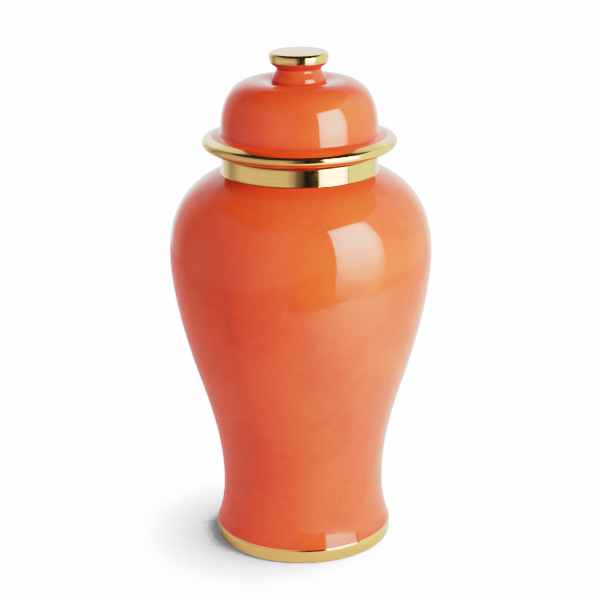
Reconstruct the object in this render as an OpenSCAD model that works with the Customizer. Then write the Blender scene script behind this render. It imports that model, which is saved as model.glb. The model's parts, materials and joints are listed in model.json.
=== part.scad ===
// Ginger jar: a waisted vessel with a round shoulder, and a domed lid that lifts off.
// Every sub-part is turned about the Z axis. The jar stands on the plane z = 0.

/* [Foot] */
// Outer radius of the foot, at the top of its gold band
foot_r = 70.6; // [68:0.1:76]
// Height of the gold band round the foot
foot_band_h = 11.3; // [7:0.1:14]
// How far the foot band leans in towards the table
foot_lean = 0.4; // [0:0.1:0.7]
// Width of the bare ring that the jar stands on
foot_ring_w = 8; // [5:0.5:12]
// How far the base is hollowed above the table
base_recess = 3; // [1:0.5:5]

/* [Body] */
// Radius of the waist, just above the foot
waist_r = 64.4; // [60:0.1:67]
// Height of the waist
waist_z = 46.4; // [40:0.1:55]
// Radius halfway up the swelling side
side_r = 82.6; // [76:0.1:88]
// Height at which that radius is measured
side_z = 137.9; // [125:0.1:150]
// How far the side leans out there, as radius gained over height gained
side_lean = 0.33; // [0.2:0.01:0.4]
// Radius of the belly, at its widest
belly_r = 102.5; // [95:0.1:110]
// Height of the widest ring
belly_z = 236; // [225:0.5:245]

/* [Neck] */
// Outer radius of the straight neck
neck_r = 60.3; // [58:0.1:64]
// Height at which the neck leaves the shoulder
neck_base_z = 302.4; // [296:0.1:310]
// Height of the neck
neck_h = 15.4; // [12:0.1:20]

/* [Walls] */
// Thickness of the jar's wall
wall = 6; // [5:0.5:7]
// Thickness of the jar's floor
floor_t = 8; // [6:0.5:12]
// Thickness of the lid's wall
lid_wall = 5.5; // [4:0.5:6.5]
// Depth of clay that a gold band stands for
band_t = 1.2; // [0.8:0.1:1.5]

/* [Lid] */
// Outer radius of the flange
flange_r = 75.1; // [73:0.1:78]
// Height of the flange's widest ring above the lid's seat
flange_edge_h = 7; // [6.5:0.1:8]
// Rounding of the flange's upper edge
flange_roll = 3.6; // [3:0.1:4.2]
// Slope of the flange's gold top, in degrees
flange_slope = 20; // [15:1:22]
// Outer radius of the dome's upright side
dome_r = 60.9; // [59.5:0.1:62]
// Height of the crown above the lid's seat, where the knob stands
crown_h = 52.4; // [46:0.1:58]
// Clearance all round between the locating ring and the inside of the neck
ring_gap = 1.3; // [0.6:0.1:2.5]
// How far the locating ring reaches down into the neck
ring_h = 14; // [8:0.5:18]

/* [Knob] */
// Radius of the gold cap, at its widest
knob_r = 22.9; // [21.5:0.1:25]
// Thickness of the gold cap
cap_t = 7; // [6:0.1:9]
// Radius of the stem, at its narrowest
stem_r = 17.3; // [15:0.1:19]
// Radius of the stem's foot on the crown
stem_foot_r = 20.9; // [19.5:0.1:22]
// Height of the stem
stem_h = 16.5; // [14:0.1:20]

/* [Hidden] */
$fn = 160;

glaze = [0.84, 0.33, 0.15];
gold = [0.83, 0.66, 0.38];

curve_steps = 24; // straight pieces in one curve
arc_step = 10; // degrees in one straight piece of an arc

// Foot
foot_lift = 0.6; // clear of the table, below the gold band
foot_edge = 0.75 * (band_t - foot_lean); // rounded lower edge of the gold band
foot_roll = 2.6; // height in which the gold band rolls over to the slope of the glaze above it
foot_flare = [-2.7, 7.7]; // pull of that slope, up and inwards
foot_top = [foot_r - 0.55, foot_band_h]; // where the gold band ends
recess_edge = 2; // slope from the foot ring up to the recessed base
floor_z = base_recess + floor_t;

// Neck
neck_flare = 1.2; // hollow corner between the shoulder and the neck
lip_r = 0.58 * wall; // rounding of the neck's top edge, outside
lip_in_r = 0.34 * wall; // and inside
lip_split = acos(1 - band_t / lip_r); // the gold stops at this angle round the lip, where it is band_t deep
neck_top_z = neck_base_z + neck_h;
lip_z = neck_top_z - lip_r;
mouth_r = neck_r - wall;

// Lid
seat_gap = 0.3; // between the top of the neck and the lid's seat
seat_z = neck_top_z + seat_gap;
flange_low_w = 15.8; // half width of the ellipse that the underside of the flange follows
flange_mid = [flange_r - flange_low_w, seat_z + flange_edge_h]; // its centre
gold_to = -30; // the gold ends at this angle of it, just under the edge
roll_mid = [flange_r - flange_roll, flange_mid[1]];
slope_end = roll_mid + flange_roll * [sin(flange_slope), cos(flange_slope)];
gold_in = 7.4; // how far the gold reaches in from the flange's edge
gold_from = [flange_r - gold_in, slope_end[1] + (slope_end[0] - flange_r + gold_in) * tan(flange_slope)];
top_round = 25; // rounding of the flange's glazed top
top_mid = gold_from - top_round * [sin(flange_slope), cos(flange_slope)];
dome_fillet = 2.5; // hollow corner between the dome and the flange
dome_turn = acos((dome_r + dome_fillet - top_mid[0]) / top_round); // angle of top_round where it starts
dome_foot_z = top_mid[1] + top_round * sin(dome_turn) + dome_fillet;
crown_z = seat_z + crown_h;
ring_r = mouth_r - ring_gap;
ring_t = 4.8; // thickness of the locating ring
ring_edge = 1.5; // rounding of its lower edges
throat_r = ring_r - ring_t; // inside of the ring and of the lid just above it

// Knob
cap_z = crown_z + stem_h;
cap_edge = 3; // rounding of the cap's upper edge
cap_low_r = knob_r - 0.6;
stem_waist_z = crown_z + 0.64 * stem_h;

// A curve from a to d, pulled towards b and then c, without its first point.
function curve(a, b, c, d) = [
    for (i = [1:curve_steps]) let (t = i / curve_steps, s = 1 - t)
        s * s * s * a + 3 * s * s * t * b + 3 * s * t * t * c + t * t * t * d
];

// Part of an ellipse round centre, from one angle to another.
function arc(centre, rx, rz, from, to) = let (steps = ceil(abs(to - from) / arc_step)) [
    for (i = [0:steps]) let (angle = from + (to - from) * i / steps)
        centre + [rx * cos(angle), rz * sin(angle)]
];

// The path moved sideways by depth, to its left.
function inset(path, depth) = [
    for (i = [0:len(path) - 1]) let (
        step = path[min(i + 1, len(path) - 1)] - path[max(i - 1, 0)],
        along = step / norm(step)
    ) path[i] + depth * [-along[1], along[0]]
];

function reverse(path) = [for (i = [len(path) - 1:-1:0]) path[i]];

// Outside of the jar, from the waist up to the neck.
lean = [side_lean, 1] / norm([side_lean, 1]);
side_outer = concat(
    [[waist_r, waist_z]],
    curve([waist_r, waist_z], [waist_r, waist_z + 32], [side_r, side_z] - 32 * lean, [side_r, side_z]),
    curve([side_r, side_z], [side_r, side_z] + 25 * lean, [belly_r, belly_z - 30], [belly_r, belly_z]),
    curve([belly_r, belly_z], [belly_r, belly_z + 43], [neck_r + neck_flare + 20, neck_base_z - 9],
          [neck_r + neck_flare, neck_base_z])
);

// Outside of the dome, from the flange up to the knob.
dome_outer = concat(
    [[dome_r, dome_foot_z]],
    curve([dome_r, dome_foot_z], [dome_r - 0.7, crown_z + 11.2], [stem_foot_r + 5.4, crown_z + 2.7],
          [stem_foot_r, crown_z])
);

module turned(path) {
    rotate_extrude() polygon(path);
}

module jar_body() {
    waist_in = [waist_r - wall, waist_z];
    side_inner = reverse(inset(side_outer, wall));
    shoulder_in = side_inner[0];
    color(glaze) turned(concat(
        // foot ring and the step that the gold band fills
        [[foot_r - foot_ring_w, 0], [foot_r - band_t - foot_lift, 0], [foot_r - band_t, foot_lift],
         [foot_r - band_t, foot_band_h], foot_top],
        curve(foot_top, foot_top + foot_flare, [waist_r, waist_z - 16.7], [waist_r, waist_z]),
        side_outer,
        // neck, with the step that its band fills
        [[neck_r - band_t, neck_base_z]],
        arc([neck_r - lip_r, lip_z], lip_r, lip_r, lip_split, 90),
        arc([mouth_r + lip_in_r, neck_top_z - lip_in_r], lip_in_r, lip_in_r, 90, 180),
        // inside, down to the floor
        [[mouth_r, neck_base_z + 1]],
        curve([mouth_r, neck_base_z + 1], [mouth_r, neck_base_z - 3], shoulder_in + [-2, 1], shoulder_in),
        side_inner,
        reverse(curve([waist_in[0] - 16, floor_z], [waist_in[0] - 3, floor_z],
                      waist_in - [0, 22], waist_in)),
        [[0, floor_z], [0, base_recess], [foot_r - foot_ring_w - recess_edge, base_recess]]
    ));
}

module foot_band() {
    low_r = foot_r - foot_lean;
    roll_from = [foot_r, foot_band_h - foot_roll];
    color(gold) turned(concat(
        [[foot_r - band_t, foot_lift]],
        arc([low_r - foot_edge, foot_lift + foot_edge], foot_edge, foot_edge, -90, 0),
        [roll_from],
        curve(roll_from, roll_from + [0, 0.4 * foot_roll], foot_top - 0.12 * foot_flare, foot_top),
        [[foot_r - band_t, foot_band_h]]
    ));
}

module neck_band() {
    corner = [neck_r + neck_flare, neck_base_z + neck_flare];
    color(gold) turned(concat(
        [[neck_r - band_t, neck_base_z]],
        arc(corner, neck_flare, neck_flare, 270, 180),
        arc([neck_r - lip_r, lip_z], lip_r, lip_r, 0, lip_split)
    ));
}

module lid_shell() {
    corner = [dome_r + dome_fillet, dome_foot_z];
    dome_inner = inset(dome_outer, lid_wall);
    color(glaze) turned(concat(
        [[0, crown_z]],
        reverse(dome_outer),
        arc(corner, dome_fillet, dome_fillet, 180, 270),
        arc(top_mid, top_round, top_round, dome_turn, 90 - flange_slope),
        arc(flange_mid, flange_low_w, flange_edge_h, gold_to, -90),
        // inside, from the throat up to the crown
        [[throat_r, seat_z]],
        curve([throat_r, seat_z], [throat_r, seat_z + 8], dome_inner[0] - [0, 7], dome_inner[0]),
        dome_inner,
        [[0, crown_z - lid_wall]]
    ));
}

module lid_locating_ring() {
    low_z = seat_z - ring_h;
    color(glaze) turned(concat(
        [[throat_r, seat_z]],
        arc([throat_r + ring_edge, low_z + ring_edge], ring_edge, ring_edge, 180, 270),
        arc([ring_r - ring_edge, low_z + ring_edge], ring_edge, ring_edge, 270, 360),
        [[ring_r, seat_z]]
    ));
}

module lid_rim_band() {
    color(gold) turned(concat(
        [gold_from],
        arc(roll_mid, flange_roll, flange_roll, 90 - flange_slope, 0),
        arc(flange_mid, flange_low_w, flange_edge_h, -arc_step, gold_to)
    ));
}

module knob_stem() {
    waist = [stem_r, stem_waist_z];
    color(glaze) turned(concat(
        [[0, crown_z], [stem_foot_r, crown_z]],
        curve([stem_foot_r, crown_z], [stem_foot_r + 0.7, crown_z + 0.39 * stem_h],
              waist - [0, 0.17 * stem_h], waist),
        curve(waist, waist + [0, 0.16 * stem_h],
              [cap_low_r - 0.4, cap_z - 0.21 * stem_h], [cap_low_r, cap_z]),
        [[0, cap_z]]
    ));
}

module knob_cap() {
    top_z = cap_z + cap_t;
    color(gold) turned(concat(
        [[0, cap_z], [cap_low_r, cap_z]],
        curve([cap_low_r, cap_z], [cap_low_r + 0.4, cap_z + 1.6], [knob_r, cap_z + 3],
              [knob_r, top_z - cap_edge]),
        arc([knob_r - cap_edge, top_z - cap_edge], cap_edge, cap_edge, 0, 90),
        [[0, top_z]]
    ));
}

jar_body();
foot_band();
neck_band();
lid_shell();
lid_locating_ring();
lid_rim_band();
knob_stem();
knob_cap();
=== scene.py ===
"""Ginger jar: the looks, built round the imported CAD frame.

Every CAD node of this jar is turned about the Z axis. Each one is turned again here, finer and with exact
shading, from the outline that its own CAD mesh holds, and gets a procedural finish.
"""

import json
import math

import bpy
import numpy as np
from mathutils import Matrix, Vector


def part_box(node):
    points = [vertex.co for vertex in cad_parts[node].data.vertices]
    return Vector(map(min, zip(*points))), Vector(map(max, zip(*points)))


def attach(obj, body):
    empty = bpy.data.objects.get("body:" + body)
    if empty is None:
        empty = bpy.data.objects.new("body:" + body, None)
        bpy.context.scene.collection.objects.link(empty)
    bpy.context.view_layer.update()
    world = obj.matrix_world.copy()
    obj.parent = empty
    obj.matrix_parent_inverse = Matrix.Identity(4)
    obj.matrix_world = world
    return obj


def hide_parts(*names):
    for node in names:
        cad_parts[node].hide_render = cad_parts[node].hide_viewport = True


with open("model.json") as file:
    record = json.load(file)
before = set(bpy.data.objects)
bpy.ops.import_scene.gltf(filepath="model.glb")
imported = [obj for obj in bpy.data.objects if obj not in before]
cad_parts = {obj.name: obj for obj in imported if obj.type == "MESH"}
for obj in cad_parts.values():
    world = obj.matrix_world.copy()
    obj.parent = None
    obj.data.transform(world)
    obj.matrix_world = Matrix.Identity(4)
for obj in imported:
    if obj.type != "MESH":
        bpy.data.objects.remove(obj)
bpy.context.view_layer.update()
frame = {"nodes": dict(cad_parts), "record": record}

# ---------------------------------------------------------------- shape

TURNS = 192  # pieces in one ring
ON_SEAM = 1e-6  # metres: how far off the seam a point of it may lie
OUTLINE_DIGITS = 6  # decimals of a metre that an outline keeps
JOINT_DIGITS = 5  # decimals of a metre to which the corners of two nodes agree where they meet
SHARP = math.radians(24)  # a bend sharper than this is a corner
EDGE_ROUNDING = 0.00045  # metres, on corners that no other node fills
EDGE_SHARE = 0.45  # of the shorter side of a corner that its rounding may use
EDGE_STEPS = 4  # straight pieces in one rounded corner


def outline(node):
    """The outline of a turned node as (radius, height) points, and whether it closes on itself.

    It follows the mesh edges on the seam, which lie in the half-plane y = 0, x > 0. A flat face has no such
    edge, so loose ends at the same height are joined, and a loose end with no partner runs to the axis.
    """
    mesh = frame["nodes"][node].data
    seam = {}
    for vertex in mesh.vertices:
        if abs(vertex.co.y) < ON_SEAM and vertex.co.x > ON_SEAM:
            seam[vertex.index] = (round(vertex.co.x, OUTLINE_DIGITS), round(vertex.co.z, OUTLINE_DIGITS))
    links = {}

    def join(a, b):
        links.setdefault(a, set()).add(b)
        links.setdefault(b, set()).add(a)

    for edge in mesh.edges:
        a, b = (seam.get(index) for index in edge.vertices)
        if a and b and a != b:
            join(a, b)
    loose = sorted((point for point in links if len(links[point]) == 1), key=lambda point: point[1])
    while loose:
        point = loose.pop(0)
        if loose and abs(loose[0][1] - point[1]) < 2 * ON_SEAM:
            join(point, loose.pop(0))
        else:
            join(point, (0.0, point[1]))
    tips = [point for point in links if point[0] == 0.0]
    path = [tips[0] if tips else min(links)]
    while True:
        onward = [point for point in links[path[-1]] if len(path) < 2 or point != path[-2]]
        if not onward or onward[0] == path[0]:
            break
        path.append(onward[0])
    return [np.array(point) for point in path], not tips


def bend(before, point, after):
    """The angle by which the path turns at point."""
    a, b = point - before, after - point
    return abs(math.atan2(a[0] * b[1] - a[1] * b[0], a @ b))


def soften(path, closed, joints):
    """The path with its free corners rounded, and which of its points stay sharp.

    A corner that meets a corner of another node is one of the joints, and isn't free.
    """
    points, sharp = [], []
    for i, point in enumerate(path):
        before, after = path[i - 1], path[(i + 1) % len(path)]
        tip = not closed and i in (0, len(path) - 1)
        smooth = tip or bend(before, point, after) < SHARP
        if smooth or tuple(point.round(JOINT_DIGITS)) in joints:
            points.append(point)
            sharp.append(not smooth)
            continue
        back, onward = before - point, after - point
        reach = min(EDGE_ROUNDING, EDGE_SHARE * min(np.linalg.norm(back), np.linalg.norm(onward)))
        start = point + reach * back / np.linalg.norm(back)
        end = point + reach * onward / np.linalg.norm(onward)
        for step in range(EDGE_STEPS + 1):
            t = step / EDGE_STEPS
            points.append((1 - t) ** 2 * start + 2 * t * (1 - t) * point + t * t * end)
            sharp.append(False)
    return points, sharp


def turn(name, path, closed, sharp):
    """A mesh object made by turning the path about Z, with a shading normal for every face corner."""
    count = len(path)
    spans = count if closed else count - 1
    outward = []
    for i in range(spans):
        along = path[(i + 1) % count] - path[i]
        outward.append(np.array([along[1], -along[0]]) / np.linalg.norm(along))
    area = sum(
        path[i][0] * path[(i + 1) % count][1] - path[(i + 1) % count][0] * path[i][1]
        for i in range(count)
    )
    if area < 0:
        outward = [-normal for normal in outward]

    def at_point(i, span):
        if sharp[i]:
            return outward[span]
        sides = [outward[k % spans] for k in (i - 1, i) if closed or 0 <= k < spans]
        mean = sum(sides)
        if path[i][0] == 0.0:
            mean = np.array([0.0, mean[1]])
        return mean / np.linalg.norm(mean)

    places, ring = [], []
    for radius, height in path:
        if radius == 0.0:
            ring.append([len(places)] * TURNS)
            places.append((0.0, 0.0, height))
            continue
        ring.append(list(range(len(places), len(places) + TURNS)))
        for k in range(TURNS):
            angle = 2 * math.pi * k / TURNS
            places.append((radius * math.cos(angle), radius * math.sin(angle), height))

    faces, normals = [], []
    for i in range(spans):
        j = (i + 1) % count
        near, far = at_point(i, i), at_point(j, i)
        for k in range(TURNS):
            n = (k + 1) % TURNS
            corners = [
                (ring[i][k], near, k),
                (ring[i][n], near, n),
                (ring[j][n], far, n),
                (ring[j][k], far, k),
            ]
            if ring[i][k] == ring[i][n]:
                corners.pop(1)
            elif ring[j][k] == ring[j][n]:
                corners.pop(3)
            if area < 0:
                corners.reverse()
            faces.append([corner[0] for corner in corners])
            for _, normal, step in corners:
                angle = 2 * math.pi * step / TURNS
                normals.append((normal[0] * math.cos(angle), normal[0] * math.sin(angle), normal[1]))
    mesh = bpy.data.meshes.new(name)
    mesh.from_pydata(places, [], faces)
    mesh.shade_smooth()
    mesh.normals_split_custom_set(normals)
    piece = bpy.data.objects.new(name, mesh)
    bpy.context.scene.collection.objects.link(piece)
    return piece


# ---------------------------------------------------------------- finishes


MIX_A, MIX_B, MIXED = 6, 7, 2  # the colour sockets of Blender's Mix node


class Nodes:
    """Shorthand for building one node tree. In math, span and mix, a number can be a node's output too."""

    def __init__(self, tree):
        self.tree = tree
        tree.nodes.clear()

    def add(self, kind, **settings):
        node = self.tree.nodes.new(kind)
        for key, value in settings.items():
            setattr(node, key, value)
        return node

    def link(self, source, target):
        self.tree.links.new(source, target)

    def finish(self, shader, kind="Material"):
        """Makes the shader's output what the surface, or the world, looks like."""
        self.link(shader.outputs[0], self.add("ShaderNodeOutput" + kind).inputs["Surface"])

    def put(self, socket, value):
        if isinstance(value, bpy.types.NodeSocket):
            self.link(value, socket)
        else:
            socket.default_value = value

    def place(self):
        """The place on the object, in metres."""
        return self.add("ShaderNodeTexCoord").outputs["Object"]

    def parts(self, place):
        """The place's X, Y and Z."""
        node = self.add("ShaderNodeSeparateXYZ")
        self.link(place, node.inputs[0])
        return node.outputs

    def math(self, operation, *values):
        node = self.add("ShaderNodeMath", operation=operation)
        for socket, value in zip(node.inputs, values):
            self.put(socket, value)
        return node.outputs[0]

    def gap(self, value, level):
        """How far the value is from the level, either way."""
        return self.math("ABSOLUTE", self.math("SUBTRACT", value, level))

    def noise(self, place, scale, detail, roughness=0.5, distortion=0.0):
        node = self.add("ShaderNodeTexNoise")
        self.link(place, node.inputs["Vector"])
        node.inputs["Scale"].default_value = scale
        node.inputs["Detail"].default_value = detail
        node.inputs["Roughness"].default_value = roughness
        node.inputs["Distortion"].default_value = distortion
        return node.outputs["Fac"]

    def span(self, value, low, high, to_low=0.0, to_high=1.0, smooth=True):
        """Goes from to_low to to_high while the value goes from low to high, and stays there beyond them."""
        node = self.add("ShaderNodeMapRange", interpolation_type="SMOOTHSTEP" if smooth else "LINEAR")
        for socket, number in zip(node.inputs, (value, low, high, to_low, to_high)):
            self.put(socket, number)
        return node.outputs[0]

    def mix(self, share, a, b):
        """Colour a, with this share of colour b in it."""
        node = self.add("ShaderNodeMix", data_type="RGBA")
        self.put(node.inputs["Factor"], share)
        self.put(node.inputs[MIX_A], a)
        self.put(node.inputs[MIX_B], b)
        return node.outputs[MIXED]

    def bump(self, height, strength, distance, normal=None):
        node = self.add("ShaderNodeBump")
        node.inputs["Strength"].default_value = strength
        node.inputs["Distance"].default_value = distance
        self.link(height, node.inputs["Height"])
        if normal:
            self.link(normal, node.inputs["Normal"])
        return node.outputs[0]


def new_material(name):
    """A new material, and the shorthand for its nodes."""
    material = bpy.data.materials.new(name)
    material.use_nodes = True
    return material, Nodes(material.node_tree)


def finish_of(name):
    """A new material, the shorthand for its nodes, its shader, and the place on the object."""
    material, nodes = new_material(name)
    shader = nodes.add("ShaderNodeBsdfPrincipled")
    nodes.finish(shader)
    return material, nodes, shader, nodes.place()


GLAZE = (0.80, 0.058, 0.012, 1.0)
GLAZE_THICK = (0.66, 0.036, 0.008, 1.0)
GLAZE_THIN = (0.84, 0.088, 0.020, 1.0)
GLAZE_PAINTED_SHADE = (0.24, 0.014, 0.007, 1.0)  # painted shade: the glaze made dark under the knob's cap and under the flange, where shade falls
STONEWARE = (0.66, 0.56, 0.44, 1.0)
STONEWARE_DARK = (0.50, 0.40, 0.30, 1.0)
GOLD = (1.0, 0.61, 0.21, 1.0)
GOLD_THIN = (0.80, 0.40, 0.13, 1.0)

# All in metres
FOOT_BARE = 0.0034  # up from the table: the foot ring and the hollow base carry no glaze
LIP_BARE = 0.0012  # up and down from the lid's seat: the line where lid and neck meet is bare too
LIP_FULLY = 0.8 * LIP_BARE  # so far up and down it is fully bare
LIP_INSET = 0.0032  # how far in from the outside of the neck that line starts
BARE_EDGE = 0.0004  # width in which the glaze runs out to bare clay
POOL_REACH = 0.010  # how far the thick glaze reaches from a hollow corner
CAP_PAINTED_SHADE = (0.0075, 0.0040)  # painted shade under the knob's cap: where it starts and where it is full
FLANGE_PAINTED_SHADE = (0.0040, 0.0055)  # painted shade under the flange: where it is full and where it ends
FLANGE_GAP = 0.0010  # height above the lid's seat that this is measured from

EVEN_SHARE = 0.62  # how much of the glaze's middle colour tones down its clouds
MOTTLE_SHARE = 0.22  # how much of the thin glaze's colour the mottle takes
SPECK_SHARE = 0.35  # how much of the thick glaze's colour a speck takes
POOL_SHARE = 0.55  # and how much of it a hollow corner takes
PAINTED_SHADE_SHARE = 0.85  # how much of the painted shade's colour it takes where it is full
BARE_ROUGHNESS = 0.8
GLAZE_GLOSS = (0.05, 0.09)  # roughness of the glaze, from its glossiest patches to its dullest
GOLD_GLOSS = (0.09, 0.2)  # roughness of the gold, from where it is thick to where it is thin
BRUSHING = (25.0, 25.0, 700.0)  # how fine the gold's streaks are: long round the jar, and thin up it


def glaze_finish():
    """Glossy orange, clouded and speckled, thick in hollow corners, with painted shade under the knob's cap
    and under the flange, and left off where the clay rests.
    """
    material, nodes, shader, place = finish_of("orange_glaze")
    x, y, height = nodes.parts(place)
    squares = nodes.math("ADD", nodes.math("POWER", x, 2.0), nodes.math("POWER", y, 2.0))
    radius = nodes.math("SQRT", squares)
    clouds = nodes.noise(place, scale=14.0, detail=3.0, roughness=0.55, distortion=0.6)
    mottle = nodes.noise(place, scale=130.0, detail=2.0, roughness=0.55)
    specks = nodes.noise(place, scale=900.0, detail=1.0)

    color = nodes.mix(nodes.span(clouds, 0.3, 0.7), GLAZE_THICK, GLAZE_THIN)
    color = nodes.mix(EVEN_SHARE, color, GLAZE)
    color = nodes.mix(nodes.span(mottle, 0.45, 0.75, 0.0, MOTTLE_SHARE), color, GLAZE_THIN)
    color = nodes.mix(nodes.span(specks, 0.66, 0.74, 0.0, SPECK_SHARE), color, GLAZE_THICK)
    hollow_corners = (
        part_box("neck_band")[0][2],
        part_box("lid_rim_band")[1][2],
        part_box("foot_band")[1][2],
        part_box("knob_stem")[0][2],
    )
    pools = None
    for corner in hollow_corners:
        pool = nodes.span(nodes.gap(height, corner), 0.0, POOL_REACH, POOL_SHARE, 0.0)
        pools = nodes.math("MAXIMUM", pools, pool) if pools else pool
    color = nodes.mix(pools, color, GLAZE_THICK)

    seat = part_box("lid_shell")[0][2]
    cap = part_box("knob_cap")[0][2]
    # Painted shade: the glaze is made darker under the knob's cap and under the flange, where shade falls.
    shade_under_cap = nodes.span(height, cap - CAP_PAINTED_SHADE[0], cap - CAP_PAINTED_SHADE[1], 0.0, PAINTED_SHADE_SHARE)
    shade_under_flange = nodes.span(nodes.gap(height, seat + FLANGE_GAP), *FLANGE_PAINTED_SHADE, PAINTED_SHADE_SHARE, 0.0)
    color = nodes.mix(nodes.math("MAXIMUM", shade_under_cap, shade_under_flange), color, GLAZE_PAINTED_SHADE)

    lip = nodes.span(nodes.gap(height, seat), LIP_FULLY, LIP_BARE, 1.0, 0.0)
    lip_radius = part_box("neck_band")[1][0] - LIP_INSET
    inward = nodes.span(radius, lip_radius - BARE_EDGE, lip_radius, 1.0, 0.0)
    foot = nodes.span(height, FOOT_BARE, FOOT_BARE + BARE_EDGE, 1.0, 0.0)
    bare = nodes.math("MAXIMUM", foot, nodes.math("MULTIPLY", lip, inward))
    clay = nodes.mix(nodes.span(specks, 0.35, 0.65), STONEWARE_DARK, STONEWARE)
    nodes.link(nodes.mix(bare, color, clay), shader.inputs["Base Color"])
    gloss = nodes.span(mottle, 0.3, 0.7, *GLAZE_GLOSS)
    matt = nodes.math("MULTIPLY", bare, BARE_ROUGHNESS)
    nodes.link(nodes.math("MAXIMUM", gloss, matt), shader.inputs["Roughness"])
    shader.inputs["IOR"].default_value = 1.46
    ripple = nodes.bump(nodes.noise(place, scale=75.0, detail=1.5), strength=0.22, distance=0.0004)
    nodes.link(nodes.bump(specks, strength=0.05, distance=0.0001, normal=ripple), shader.inputs["Normal"])
    return material


def gold_finish():
    """Fired gold lustre: bright, with brushed streaks round the jar where the film is thin."""
    material, nodes, shader, place = finish_of("gold_lustre")
    stretch = nodes.add("ShaderNodeVectorMath", operation="MULTIPLY")
    nodes.link(place, stretch.inputs[0])
    stretch.inputs[1].default_value = BRUSHING
    streaks = nodes.noise(stretch.outputs[0], scale=1.0, detail=3.0, roughness=0.6)
    patches = nodes.noise(place, scale=55.0, detail=2.0)
    worn = nodes.span(patches, 0.35, 0.7, 0.1, 0.5)
    thin = nodes.math("MULTIPLY", nodes.span(streaks, 0.4, 0.8), worn)
    nodes.link(nodes.mix(thin, GOLD, GOLD_THIN), shader.inputs["Base Color"])
    nodes.link(nodes.span(thin, 0.0, 1.0, *GOLD_GLOSS), shader.inputs["Roughness"])
    shader.inputs["Metallic"].default_value = 1.0
    ripple = nodes.bump(nodes.noise(place, scale=70.0, detail=1.0), strength=0.18, distance=0.0004)
    nodes.link(nodes.bump(streaks, strength=0.03, distance=0.0001, normal=ripple), shader.inputs["Normal"])
    return material


def stoneware_finish():
    """Bare fired clay: matt, grainy and slightly blotched."""
    material, nodes, shader, place = finish_of("bare_stoneware")
    grain = nodes.noise(place, scale=1400.0, detail=2.0, roughness=0.6)
    blotches = nodes.noise(place, scale=60.0, detail=3.0, roughness=0.6)
    color = nodes.mix(nodes.span(grain, 0.3, 0.7), STONEWARE_DARK, STONEWARE)
    color = nodes.mix(nodes.span(blotches, 0.4, 0.8, 0.0, 0.5), color, STONEWARE_DARK)
    nodes.link(color, shader.inputs["Base Color"])
    shader.inputs["Roughness"].default_value = 0.85
    nodes.link(nodes.bump(grain, strength=0.5, distance=0.0002), shader.inputs["Normal"])
    return material


# ---------------------------------------------------------------- pieces

record = frame["record"]
slot_of = {row["node"]: row["material_slot"] for row in record["subparts"]}
body_of = {node: body for body, nodes in record["behaviour"]["bodies"].items() for node in nodes}
finishes = {
    "orange_glaze": glaze_finish(),
    "gold_lustre": gold_finish(),
    "bare_stoneware": stoneware_finish(),
}
outlines = {node: outline(node) for node in frame["nodes"]}

for node, (path, closed) in outlines.items():
    joints = {
        tuple(point.round(JOINT_DIGITS))
        for other, (points, _) in outlines.items()
        if other != node
        for point in points
    }
    points, sharp = soften(path, closed, joints)
    piece = turn(node + "_turned", points, closed, sharp)
    piece.data.materials.append(finishes[slot_of[node]])
    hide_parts(node)
    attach(piece, body_of[node])

# ---------------------------------------------------------------- stage, light and camera


def stage_object(name, places, faces, corners=None):
    """A mesh that isn't part of the jar. The corners say how far across and up its face each corner is."""
    mesh = bpy.data.meshes.new(name)
    mesh.from_pydata(places, [], faces)
    if corners:
        layer = mesh.uv_layers.new(name="sheet")
        for loop, corner in zip(layer.data, corners):
            loop.uv = corner
    thing = bpy.data.objects.new(name, mesh)
    bpy.context.scene.collection.objects.link(thing)
    return thing


FLOOR_REACH = 12.0
TABLE_FRONT = -0.46  # right of DARK_LEFT the table ends here, and the room beyond it is dark
DARK_LEFT = -0.09
TABLE_EDGE = 0.02  # softness of those two edges, either way
TABLE_HALF_WIDTH = 1.35
TABLE_SIDE = 0.1  # softness of the table's left and right sides, either way
TABLE_LEFT = 0.34  # the table's colour left and right of the jar: darker on the left as painted shade, since the lamps light its right more
TABLE_RIGHT = 0.57
TABLE_TURN = 0.3  # half the width in which the one changes into the other
BEYOND_TABLE = 0.03  # the same, past the table's edges
BACKGROUND = 6.5  # bright enough for the film to show white
SHADE_REACH = 0.095  # how far from the jar its soft shadow starts
SHADE_SPAN = (0.48, 0.87)  # how open the table is to the light where it is darkest, and where it is white
SHADE_DARKEST = 0.03  # of BACKGROUND
SHADE_LEAN = (0.74, 0.12, 0.66)  # the side that the light on the table comes from
SHADE_SAMPLES = 16


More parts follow.
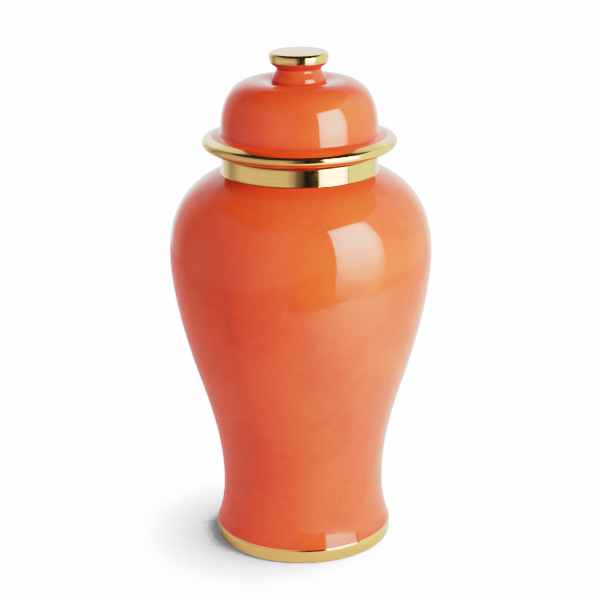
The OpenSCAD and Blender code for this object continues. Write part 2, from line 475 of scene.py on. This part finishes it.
def add_floor():
    """A white table. The camera sees it as one white sheet with a painted soft shadow of the jar on it."""
    signs = ((-1, -1), (1, -1), (1, 1), (-1, 1))
    floor = stage_object("floor", [(FLOOR_REACH * x, FLOOR_REACH * y, 0) for x, y in signs], [(0, 1, 2, 3)])
    material, nodes = new_material("white_table")
    across, away, _ = nodes.parts(nodes.place())
    behind_edge = nodes.span(away, TABLE_FRONT - TABLE_EDGE, TABLE_FRONT + TABLE_EDGE)
    beside_gap = nodes.span(across, DARK_LEFT - TABLE_EDGE, DARK_LEFT + TABLE_EDGE, 1.0, 0.0)
    aside = nodes.math("ABSOLUTE", across)
    within = nodes.span(aside, TABLE_HALF_WIDTH - TABLE_SIDE, TABLE_HALF_WIDTH + TABLE_SIDE, 1.0, 0.0)
    table = nodes.math("MULTIPLY", nodes.math("MAXIMUM", behind_edge, beside_gap), within)
    # Painted shade: the table's colour is darker on its left, where less light falls, and the glaze mirrors
    # that.
    white = nodes.span(across, -TABLE_TURN, TABLE_TURN, TABLE_LEFT, TABLE_RIGHT)
    thrown = nodes.math("MAXIMUM", nodes.math("MULTIPLY", table, white), BEYOND_TABLE)
    diffuse = nodes.add("ShaderNodeBsdfDiffuse")
    nodes.link(thrown, diffuse.inputs["Color"])

    # Painted shadow: the camera's white sheet is dimmed where the jar closes off the table's open sky
    # towards SHADE_LEAN.
    open_sky = nodes.add("ShaderNodeAmbientOcclusion", samples=SHADE_SAMPLES)
    open_sky.inputs["Distance"].default_value = SHADE_REACH
    toward = nodes.add("ShaderNodeVectorMath", operation="NORMALIZE")
    toward.inputs[0].default_value = SHADE_LEAN
    nodes.link(toward.outputs[0], open_sky.inputs["Normal"])
    lit = nodes.span(open_sky.outputs["AO"], *SHADE_SPAN, SHADE_DARKEST, 1.0, smooth=False)
    sheet = nodes.add("ShaderNodeEmission")
    nodes.link(nodes.math("MULTIPLY", lit, BACKGROUND), sheet.inputs["Strength"])
    either = nodes.add("ShaderNodeMixShader")
    nodes.link(nodes.add("ShaderNodeLightPath").outputs["Is Camera Ray"], either.inputs[0])
    nodes.link(diffuse.outputs[0], either.inputs[1])
    nodes.link(sheet.outputs[0], either.inputs[2])
    nodes.finish(either)
    floor.data.materials.append(material)


def direction(bearing):
    """Level unit vector at a bearing in degrees, from straight towards the camera, positive to its right."""
    angle = math.radians(bearing)
    return Vector((math.sin(angle), -math.cos(angle), 0.0))


def above(place, height):
    """The place, moved up by the height."""
    return place + Vector((0.0, 0.0, height))


CARD_BEND = 6  # degrees in one flat piece of a bent card
FIRST_REFLECTION = 1.5  # a ray's glossy depth is 1 in a first reflection, and 2 in a second


def bent_card(name, bearings, distance, high, glow, across=None, upward=None):
    """A glowing sheet that stands round part of the table, from one bearing to another."""
    first, last = bearings
    steps = round(abs(last - first) / CARD_BEND)
    places, faces, corners = [], [], []
    for i in range(steps + 1):
        foot = direction(first + (last - first) * i / steps) * distance
        places += [tuple(foot), tuple(above(foot, high))]
    for i in range(steps):
        faces.append((2 * i, 2 * i + 2, 2 * i + 3, 2 * i + 1))
        a, b = i / steps, (i + 1) / steps
        corners += [(a, 0), (b, 0), (b, 1), (a, 1)]
    glowing(stage_object(name, places, faces, corners), glow, across, upward)


def glowing(sheet, glow, across, upward, once=False):
    """Makes the sheet glow, fading by ramps. The camera doesn't see it, but the glaze and the gold do.

    With once, it lights nothing, and shows in first reflections only.
    """
    material, nodes = new_material(sheet.name)
    strength = glow
    sideways, up, _ = nodes.parts(nodes.add("ShaderNodeUVMap", uv_map="sheet").outputs[0])
    for stops, way in ((across, sideways), (upward, up)):
        if not stops:
            continue
        ramp = nodes.add("ShaderNodeValToRGB")
        ramp.color_ramp.interpolation = "EASE"
        bar = ramp.color_ramp.elements
        for element, (at, level) in zip((bar[0], bar[1]), (stops[0], stops[-1])):
            element.position = at
            element.color = (level, level, level, 1)
        for at, level in stops[1:-1]:
            bar.new(at).color = (level, level, level, 1)
        nodes.link(way, ramp.inputs[0])
        strength = nodes.math("MULTIPLY", ramp.outputs[0], strength)
    if once:
        depth = nodes.add("ShaderNodeLightPath").outputs["Glossy Depth"]
        strength = nodes.math("MULTIPLY", strength, nodes.math("LESS_THAN", depth, FIRST_REFLECTION))
    emission = nodes.add("ShaderNodeEmission")
    nodes.put(emission.inputs["Strength"], strength)
    nodes.finish(emission)
    sheet.data.materials.append(material)
    sheet.visible_camera = False
    sheet.visible_shadow = False
    sheet.visible_diffuse = not once


def flat_card(name, bearing, distance, left, right, low, high, glow, across, upward=None):
    """A flat glowing sheet square to its bearing, seen in first reflections only."""
    middle = direction(bearing) * distance
    sideways = direction(bearing + 90)
    edges = ((left, low), (right, low), (right, high), (left, high))
    places = [tuple(above(middle + sideways * side, height)) for side, height in edges]
    sheet = stage_object(name, places, [(0, 1, 2, 3)], [(0, 0), (1, 0), (1, 1), (0, 1)])
    glowing(sheet, glow, across, upward, once=True)


def area_light(name, place, aim, width, height, power, color=(1, 1, 1)):
    """A lamp that shows in no reflection. It points at the jar's axis, at the height aim."""
    light = bpy.data.lights.new(name, "AREA")
    light.shape = "RECTANGLE"
    light.size = width
    light.size_y = height
    light.energy = power
    light.color = color
    lamp = bpy.data.objects.new(name, light)
    lamp.location = place
    lamp.rotation_euler = (Vector((0.0, 0.0, aim)) - place).to_track_quat("-Z", "Y").to_euler()
    lamp.visible_glossy = False
    lamp.visible_camera = False
    bpy.context.scene.collection.objects.link(lamp)


def add_lights():
    """The cards are what the glaze and the gold mirror. The lamps light the colour under the gloss.

    A ramp is a list of (share of the way, brightness). Across goes from left to right, or from the first
    bearing to the last, and upward goes from the sheet's lower edge to its upper one.
    """
    flat_card(
        "softbox", bearing=50, distance=0.38, left=-0.163, right=0.125, low=0.09, high=0.61, glow=14.0,
        across=[(0, 0.8), (0.25, 1.0), (0.75, 1.0), (1, 0.5)],
        upward=[(0, 0.14), (0.1, 0.17), (0.2, 0.36), (0.38, 0.72), (0.53, 0.95), (0.8, 1.0), (1, 0.85)],
    )
    flat_card(
        "low_light", bearing=50, distance=0.75, left=-0.30, right=0.26, low=0.0, high=0.16, glow=8.5,
        across=[(0, 1.0), (1, 0.8)],
    )
    bent_card(
        "left_wall", bearings=(10, -115), distance=0.7, high=0.9, glow=0.6,
        across=[(0, 0.0), (0.1, 0.2), (0.16, 0.65), (0.24, 1.0), (0.8, 1.0), (1, 0.52)],
        upward=[(0, 1.0), (0.14, 1.2), (0.5, 0.88), (1, 0.8)],
    )
    bent_card("right_wall", bearings=(73, 130), distance=0.9, high=1.15, glow=1.25)
    bent_card(
        "backdrop", bearings=(130, 245), distance=1.0, high=1.5, glow=1.7,
        across=[(0, 0.6), (0.25, 1.0), (0.6, 1.0), (0.8, 0.45), (1, 0.2)],
        upward=[(0, 1.0), (0.56, 1.0), (0.64, 0.62), (0.82, 0.5), (1, 0.0)],
    )
    area_light(
        "key", place=above(direction(47) * 0.6, 0.38), aim=0.18, width=0.35, height=0.6, power=12.6
    )
    area_light(
        "fill", place=above(direction(-84) * 0.8, 0.2), aim=0.12, width=0.8, height=0.5, power=6.4,
        color=(1.0, 0.80, 0.84),
    )
    area_light(
        "back", place=above(direction(170), 0.45), aim=0.15, width=0.9, height=0.6, power=13.0
    )
    area_light("overhead", place=Vector((0.1, 0.3, 1.6)), aim=0.0, width=1.6, height=1.6, power=9.0)


WHITE = (1, 1, 1, 1)
ROOM_LIGHT = 0.15  # what the room adds all round
ROOM_DARK = 0.025  # and how bright it is in a mirror


def add_world():
    """White to the camera, a weak even light to the jar, and nearly black in a mirror."""
    world = bpy.data.worlds.new("studio")
    world.use_nodes = True
    nodes = Nodes(world.node_tree)
    path = nodes.add("ShaderNodeLightPath")
    room = nodes.add("ShaderNodeBackground")
    room.inputs["Color"].default_value = WHITE
    strength = nodes.span(path.outputs["Is Glossy Ray"], 0.0, 1.0, ROOM_LIGHT, ROOM_DARK)
    nodes.link(strength, room.inputs["Strength"])
    sheet = nodes.add("ShaderNodeBackground")
    sheet.inputs["Color"].default_value = WHITE
    sheet.inputs["Strength"].default_value = BACKGROUND
    either = nodes.add("ShaderNodeMixShader")
    nodes.link(path.outputs["Is Camera Ray"], either.inputs[0])
    nodes.link(room.outputs[0], either.inputs[1])
    nodes.link(sheet.outputs[0], either.inputs[2])
    nodes.finish(either, "World")
    bpy.context.scene.world = world


CAMERA_PLACE = (0.0, -1.3268, 0.6290)  # metres
CAMERA_LENS = 105.73  # mm, on a sensor 36 mm wide
CAMERA_DOWN = 18.08  # degrees below level
CAMERA_LEFT = 0.04  # degrees, from straight ahead
CAMERA_ROLL = -0.6045  # degrees


def add_camera():
    """The photograph's view of the jar."""
    lens = bpy.data.cameras.new("camera")
    lens.sensor_width = 36.0
    lens.lens = CAMERA_LENS
    camera = bpy.data.objects.new("camera", lens)
    pose = Matrix.Translation(CAMERA_PLACE)
    for degrees, axis in ((CAMERA_LEFT, "Z"), (90 - CAMERA_DOWN, "X"), (CAMERA_ROLL, "Z")):
        pose = pose @ Matrix.Rotation(math.radians(degrees), 4, axis)
    camera.matrix_world = pose
    bpy.context.scene.collection.objects.link(camera)
    bpy.context.scene.camera = camera


# Scene brightness, and how bright it is shown: kept up to about a third, and pressed together above that
FILM = [(0.3, 0.3), (0.6, 0.56), (0.85, 0.665), (1.2, 0.715), (1.7, 0.755), (2.3, 0.80), (3.5, 0.86),
        (6.0, 0.98), (8.0, 1.0)]
ALL_COLORS = 3  # number of the curve that works on red, green and blue together


def set_film():
    """Shows brightness the way FILM says."""
    view = bpy.context.scene.view_settings
    view.view_transform = "Standard"
    view.look = "None"
    view.use_curve_mapping = True
    mapping = view.curve_mapping
    top = FILM[-1][0]
    mapping.white_level = (top, top, top)
    curve = mapping.curves[ALL_COLORS]
    curve.points[0].location = (0.0, 0.0)
    curve.points[-1].location = (1.0, FILM[-1][1])
    for light, shown in FILM[:-1]:
        curve.points.new(light / top, shown)
    mapping.update()


add_floor()
add_lights()
add_world()
add_camera()
set_film()
